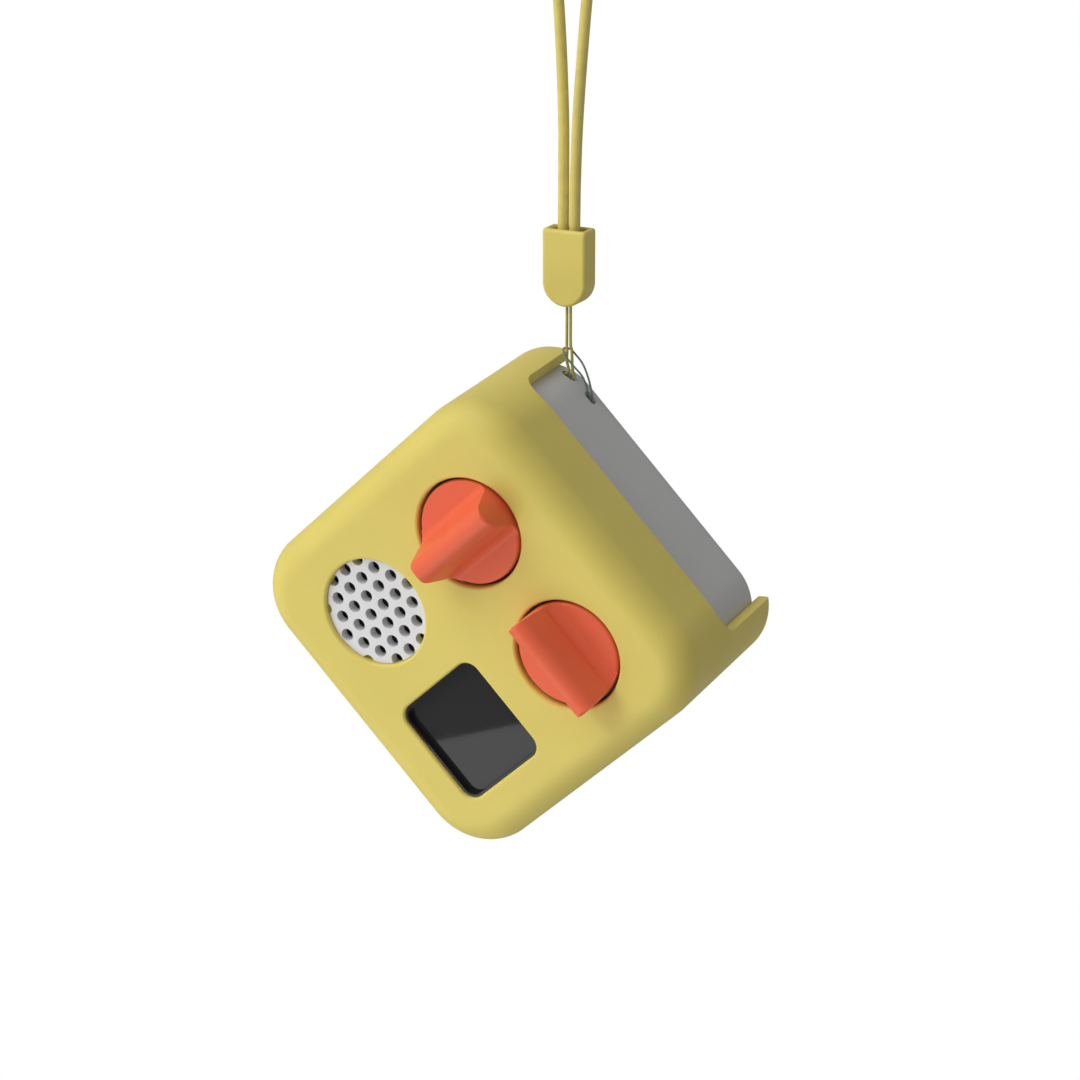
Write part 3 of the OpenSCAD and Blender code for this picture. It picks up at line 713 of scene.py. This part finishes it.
    def make_bead(self) -> bpy.types.Object:
        """Builds the hollow bead and returns it."""
        half, edge = self.bead_t / 2, self.bead_edge
        front = [(inset, -y) for inset, y in reversed(soft_edge(half, edge, 8))]
        levels = front + soft_edge(half, edge, 8)
        rings = [[Vector((x, y, z)) for x, z in self.bead_outline(inset)] for inset, y in levels]
        bead = as_object(loft(rings), "strap_bead_shell")
        top, flare = self.bead_bottom + self.bead_h, -0.3 * MM
        side, face = self.wall
        cavity = stack(
            lambda inset: rounded_rectangle(self.bead_w - 2 * (side + inset),
                                            self.bead_t - 2 * (face + inset),
                                            self.bead_corner - inset, 8),
            [(0, self.cavity_floor), (0, top - 0.3 * MM), (flare, top + 0.05 * MM),
             (flare, top + 2 * MM)])
        slot = stack(lambda inset: rounded_rectangle(self.slot_w, self.slot_t, self.bead_corner, 8),
                     [(0, self.bead_bottom - 1 * MM), (0, self.bead_bottom + 5 * MM)])
        combine(bead, [as_object(cavity, "cutter"), as_object(slot, "cutter")], Cut.SUBTRACT)
        smooth(bead, 35)
        return self.fit(bead, BEAD, "bead_silicone", "strap_bead")


# ---- Sleeve and casing ----


@dataclass
class SiliconeSleeve(Assembly):
    """The thick soft sleeve: open on top and behind, with four windows in its front."""

    end_r: float = 0.8 * MM
    front_r: float = 6 * MM
    inner_front_r: float = 4 * MM
    slip: float = 0.05 * MM
    open_from: float = 17.5 * MM
    open_w: float = 64 * MM
    open_corner: float = 6 * MM
    display_w: float = 23.2 * MM
    display_h: float = 22.4 * MM
    display_drop: float = 0.2 * MM
    display_corner: float = 3 * MM
    lip: float = 0.6 * MM
    edge: float = 0.35 * MM
    side_holes: tuple[tuple[float, ...], ...] = (
        (0, 15.75, 12.4, 6.7, 2.6), (-12.5, 17.0, 8.4, 8.4, 4.19), (12.5, 19.1, 8.1, 8.1, 4.04))

    def build(self) -> None:
        """Moulds the shell, cuts its openings and softens what is left sharp."""
        shell = self.shell()
        cutters = [self.cavity(), self.top_opening(), *self.windows(), *self.side_openings()]
        combine(shell, cutters, Cut.SUBTRACT)
        shell.data.transform(POSE.matrix())
        soften(shell, self.edge, 55)
        self.fit(shell, SLEEVE, "sleeve_silicone", "silicone_sleeve")

    def shell(self) -> bpy.types.Object:
        """Returns the outer block with its rounded front and back edges."""
        width = LAYOUT.casing_w + 2 * LAYOUT.sleeve_t
        corner = LAYOUT.casing_corner + LAYOUT.sleeve_t
        edge = soft_edge(2 * self.end_r, self.end_r, 6)
        back = [(inset, self.end_r * 2 - z) for inset, z in reversed(edge)]
        levels = back + soft_edge(LAYOUT.front, self.front_r, 20)
        made = stack(
            lambda inset: rounded_rectangle(width - 2 * inset, width - 2 * inset, corner - inset, 28), levels)
        return as_object(made, "sleeve_shell")

    def cavity(self) -> bpy.types.Object:
        """Returns the room for the casing, open through the back."""
        width, corner = LAYOUT.casing_w + 2 * self.slip, LAYOUT.casing_corner + self.slip
        levels = [(0, -1 * MM), *soft_edge(LAYOUT.casing_front, self.inner_front_r, 8)]
        made = stack(
            lambda inset: rounded_rectangle(width - 2 * inset, width - 2 * inset, corner - inset, 24), levels)
        return as_object(made, "cutter")

    def top_opening(self) -> bpy.types.Object:
        """Returns the cutter for the opening in the top side, with its ends square to the wall."""
        depth, spare = LAYOUT.front - self.open_from, 20 * MM
        centre = LAYOUT.casing_w / 2 - LAYOUT.casing_corner
        corner = LAYOUT.casing_corner + LAYOUT.sleeve_t
        end = math.acos((self.open_w / 2 - centre) / corner)
        inner, outer = ((centre + r * math.cos(end), centre + r * math.sin(end))
                        for r in (LAYOUT.casing_corner - 1.5 * MM, corner + 4 * MM))
        wedge = [inner, outer, (-outer[0], outer[1]), (-inner[0], inner[1])]
        rings = [[Vector((x, y, z)) for x, y in wedge] for z in (-1 * MM, LAYOUT.front)]
        ends = as_object(loft(rings), "cutter")
        made = stack(lambda inset: rounded_rectangle(self.open_w, depth + spare, self.open_corner, 16),
                     [(0, 0), (0, 15 * MM)])
        stand = Matrix.Translation((0, LAYOUT.casing_w / 2 + 10 * MM, depth / 2 - spare / 2))
        frontal = as_object(made, "cutter", stand @ Matrix.Rotation(math.radians(90), 4, "X"))
        return combine(ends, [frontal], Cut.KEEP_COMMON)

    def windows(self) -> list[bpy.types.Object]:
        """Returns the cutters for the two knobs, the loudspeaker and the display."""
        low = LAYOUT.casing_front - 2 * MM
        made = []
        for column, row in ((-1, 1), (1, 1), (-1, -1)):
            at = LAYOUT.place(column, row)
            made.append(drill(at.x, at.y, LAYOUT.well_r, low, LAYOUT.front, self.lip))
        levels = [(0.0, low), *lip_levels(LAYOUT.front, self.lip), (-self.lip, LAYOUT.front + 1 * MM)]
        square = stack(
            lambda inset: rounded_rectangle(self.display_w - 2 * inset, self.display_h - 2 * inset,
                                            self.display_corner - inset, 14), levels)
        place = LAYOUT.place(1, -1) - Vector((0, self.display_drop, 0))
        made.append(as_object(square, "cutter", Matrix.Translation(place)))
        return made

    def side_openings(self) -> list[bpy.types.Object]:
        """Returns the cutters over the sockets and the power button in the right side."""
        made = []
        turn = Matrix.Rotation(math.radians(90), 4, "Z") @ Matrix.Rotation(math.radians(90), 4, "X")
        for y, z, w, h, r in self.side_holes:
            block = stack(lambda inset, w=w, h=h, r=r: rounded_rectangle(w * MM, h * MM, r * MM, 16),
                          [(0, LAYOUT.casing_w / 2 - 1 * MM), (0, LAYOUT.casing_w / 2 + 4 * MM)])
            made.append(as_object(block, "cutter", Matrix.Translation((0, y * MM, z * MM)) @ turn))
        return made


@dataclass
class Casing(Assembly):
    """The two plastic shells, their screws and plugs."""

    def build(self) -> None:
        """Dresses the shells and what shows in them."""
        self.dress("front_shell", DARK)
        self.dress("rear_shell", CASING)
        self.dress("screw_plugs", PLUG)
        for node in ("casing_screws", "board_screws", "front_board_screws"):
            self.dress(node, STEEL)


@dataclass
class Loudspeaker(Assembly):
    """Perforated disc and the loudspeaker behind it."""

    def build(self) -> None:
        """Dresses the disc and what its holes show."""
        self.dress("speaker_grille", GRILLE)
        self.dress("speaker_gasket", FOAM)
        self.dress("speaker_frame", DARK)
        self.dress("speaker_cone", PAPER)
        self.dress("speaker_magnet", METAL)


@dataclass
class Display(Assembly):
    """Smoked glass, its seal and the lamp panel behind."""

    def build(self) -> None:
        """Dresses the glass and what lies behind it."""
        self.dress("display_lens", GLASS)
        self.dress("display_gasket", FOAM)
        self.dress("display_module", DIFFUSER)


# ---- Controls ----


@dataclass
class TurnKnob(Assembly):
    """A flat round face crossed by a tall grip."""

    side: str = "left"
    column: int = -1
    turn: float = 0.0
    r: float = 10.8 * MM
    base: float = 38.3 * MM
    face: float = 39.5 * MM
    top: float = 47.9 * MM
    crest_r: float = 2.75 * MM
    taper: float = 18.0
    foot_r: float = 2.5 * MM
    rim: float = 0.6 * MM
    grip_end: float = 0.8 * MM
    bore_r: float = 3.0 * MM
    bore_top: float = 42.9 * MM
    edge: float = 0.4 * MM

    def build(self) -> None:
        """Builds the knob on its shaft, and dresses the parts it turns."""
        self.body = f"{self.side}_knob"
        knob = self.cap()
        knob.data.transform(self.place())
        soften(knob, self.edge, 35, 4)
        self.fit(knob, KNOB, "knob_plastic", f"{self.side}_knob")
        self.dress(f"{self.side}_shaft", METAL)
        self.dress(f"{self.side}_rotor", DARK)
        self.dress(f"{self.side}_encoder", METAL)

    def place(self) -> Matrix:
        """Returns the knob's place in the row frame."""
        spin = Matrix.Rotation(math.radians(self.turn), 4, "Z")
        return POSE.matrix() @ Matrix.Translation(LAYOUT.place(self.column, 1)) @ spin

    def turned(self, top: float, rim: float) -> bpy.types.Object:
        """Returns a round block with a soft upper rim that ends at height top."""
        levels = [(0, self.base), *soft_edge(top, rim, 8)]
        made = stack(lambda inset: circle(self.r - inset, 120), levels)
        return as_object(made, f"{self.side}_turn_knob")

    def grip_outline(self) -> Outline:
        """Returns the section across the grip: round crest, sloping sides and hollow feet."""
        foot, slope = self.face - 0.1 * MM, math.radians(self.taper)
        crest_z = self.top - self.crest_r
        shoulder_x = self.crest_r * math.cos(slope)
        shoulder_z = crest_z + self.crest_r * math.sin(slope)
        hollow_x = shoulder_x + (shoulder_z - foot - self.foot_r) * math.tan(slope) + self.foot_r
        right = [(hollow_x, self.base + 0.5 * MM)]
        right += arc(hollow_x, foot + self.foot_r, self.foot_r, 270, 180, 12)
        right += arc(0, crest_z, self.crest_r, self.taper, 90, 16)
        return right + [(-x, z) for x, z in reversed(right[:-1])]

    def cap(self) -> bpy.types.Object:
        """Returns the cap as one solid, at the layout's origin."""
        half = self.r + 1 * MM
        bar = loft([[Vector((x, y, z)) for x, z in self.grip_outline()] for y in (-half, half)])
        grip = combine(as_object(bar, "grip"), [self.turned(self.top, self.grip_end)], Cut.KEEP_COMMON)
        cap = combine(self.turned(self.face, self.rim), [grip], Cut.ADD)
        bore = stack(lambda inset: circle(self.bore_r, 48), [(0, self.base - 1 * MM), (0, self.bore_top)])
        return combine(cap, [as_object(bore, "cutter")], Cut.SUBTRACT)


@dataclass
class SideControls(Assembly):
    """Power button, headphone socket and USB-C socket in the right side."""

    def build(self) -> None:
        """Dresses the sockets, the switch and the button's cap."""
        self.dress("usb_socket", METAL)
        self.dress("headphone_socket", DARK)
        self.dress("power_switch", DARK)
        self.dress("power_button", KNOB, 0.3 * MM)


@dataclass
class Innards(Assembly):
    """Boards, cell, leads and antenna, sealed inside the casing."""

    finishes: dict[str, Finish] = field(default_factory=lambda: {
        "front_board": BOARD, "main_board": BOARD, "shield_can": METAL, "battery": CELL,
        "battery_pad": FOAM, "battery_lead": RED_LEAD, "speaker_lead": BLACK_LEAD,
        "board_ribbon": RIBBON, "antenna": COPPER})

    def build(self) -> None:
        """Dresses each piece."""
        for node, finish in self.finishes.items():
            self.dress(node, finish)


# ---- Studio ----


@dataclass
class Studio:
    """Camera, white floor, soft lights and an even sky."""

    azimuth: float = 27.25
    elevation: float = 18.5
    distance: float = 629.1 * MM
    aside: float = -5.7 * MM
    above: float = -33.27 * MM
    lens: float = 105.29
    sky: float = 0.335
    floor_z: float = -0.45
    floor_r: float = 2.5
    floor_bend: float = 1.5
    floor_top: float = 6.0
    floor_sides: int = 64
    lamp_aim: float = -0.19
    card_place: Point = (354 * MM, -549 * MM, 550 * MM)
    card_size: tuple[float, float] = (0.7, 0.8)
    card_roll: float = -21.6
    card_power: float = 1.94

    def directions(self) -> tuple[Vector, Vector, Vector]:
        """Returns the camera's right, up and back."""
        a, e = math.radians(self.azimuth), math.radians(self.elevation)
        back = Vector((math.sin(a) * math.cos(e), -math.cos(a) * math.cos(e), math.sin(e)))
        right = Vector((math.cos(a), math.sin(a), 0))
        return right, back.cross(right), back

    def camera(self) -> None:
        """Adds the camera, level and looking a little down on the player's front."""
        right, up, back = self.directions()
        data = bpy.data.cameras.new("camera")
        data.lens, data.sensor_width, data.clip_start = self.lens, 36.0, 0.01
        camera = bpy.data.objects.new("camera", data)
        target = Vector((0, 0, -POSE.drop)) + right * self.aside + up * self.above
        camera.location = target + back * self.distance
        camera.rotation_mode = "QUATERNION"
        camera.rotation_quaternion = (-back).to_track_quat("-Z", "Y")
        bpy.context.scene.collection.objects.link(camera)
        bpy.context.scene.camera = camera

    def floor(self) -> None:
        """Adds the pale floor, which curves up into a wall all round."""
        r, bend, sides = self.floor_r, self.floor_bend, self.floor_sides
        curve = [(r + bend * math.sin(a), bend - bend * math.cos(a))
                 for a in (math.radians(9 * i) for i in range(1, 11))]
        profile = [(0.0, 0.0), (r, 0.0), *curve, (r + bend, self.floor_top)]
        mesh = bmesh.new()
        rows = []
        for r, z in profile:
            turns = [math.tau * i / sides for i in range(sides if r > 0 else 1)]
            rows.append([mesh.verts.new((r * math.cos(a), r * math.sin(a), z + self.floor_z))
                         for a in turns])
        for i in range(sides):
            mesh.faces.new((rows[0][0], rows[1][i], rows[1][(i + 1) % sides]))
        for low, high in zip(rows[1:], rows[2:]):
            for i in range(sides):
                j = (i + 1) % sides
                mesh.faces.new((low[i], high[i], high[j], low[j]))
        floor = as_object(mesh, "studio_floor")
        bench = NodeBench("white_floor")
        glow = bench.add("ShaderNodeEmission", Color=(1, 1, 1, 1), Strength=1.0)
        floor.data.materials.append(bench.output(glow.outputs[0]))
        floor.visible_diffuse, floor.visible_glossy, floor.visible_shadow = False, False, False
        floor.visible_transmission = False

    def lamp(self, name: str, direction: Point, distance: float, size: float, power: float,
             mirrored: bool = True) -> None:
        """Adds a square soft light that faces the player.

        Args:
            name: the light's name.
            direction: from the player to the light.
            distance: how far off it is.
            size: the light's side.
            power: the light's power in watts.
            mirrored: whether shiny faces show it.
        """
        data = bpy.data.lights.new(name, "AREA")
        data.shape, data.size, data.energy = "SQUARE", size, power
        lamp = bpy.data.objects.new(name, data)
        way = Vector(direction).normalized()
        lamp.location = Vector((0.0, 0.0, self.lamp_aim)) + way * distance
        lamp.rotation_mode = "QUATERNION"
        lamp.rotation_quaternion = way.to_track_quat("Z", "Y")
        lamp.visible_glossy = mirrored
        bpy.context.scene.collection.objects.link(lamp)

    def reflector(self) -> None:
        """Adds the card whose edge shows as a slanted line in the display's glass."""
        data = bpy.data.lights.new("display_card", "AREA")
        data.shape, data.energy = "RECTANGLE", self.card_power
        data.size, data.size_y = self.card_size
        card = bpy.data.objects.new("display_card", data)
        roll = Matrix.Rotation(math.radians(self.card_roll), 4, "Z")
        card.matrix_world = POSE.matrix() @ Matrix.Translation(self.card_place) @ roll
        bpy.context.scene.collection.objects.link(card)

    def light(self) -> None:
        """Adds the lights and the even sky, and shows colours as they are."""
        self.lamp("key_light", (-0.43, -0.51, 0.72), 1.3, 0.9, 9.2)
        self.lamp("fill_light", (-0.75, -0.6, -0.3), 1.3, 1.8, 7.8, mirrored=False)
        self.reflector()
        scene = bpy.context.scene
        world = bpy.data.worlds.new("sky")
        world.use_nodes = True
        world.node_tree.nodes["Background"].inputs[0].default_value = (1, 1, 1, 1)
        world.node_tree.nodes["Background"].inputs[1].default_value = self.sky
        scene.world = world
        scene.view_settings.view_transform = "Standard"


def main() -> None:
    """Builds everything in order and reports each piece."""
    logging.basicConfig(level=logging.INFO, format="%(message)s")
    studio = Studio()
    studio.camera()
    parts = [
        WristStrap(), SiliconeSleeve(), Casing(), Loudspeaker(), Display(),
        TurnKnob(side="left", column=-1, turn=0.0), TurnKnob(side="right", column=1, turn=90.0),
        SideControls(), Innards(),
    ]
    for part in parts:
        part.build()
    studio.floor()
    studio.light()


if __name__ == "__main__":
    main()
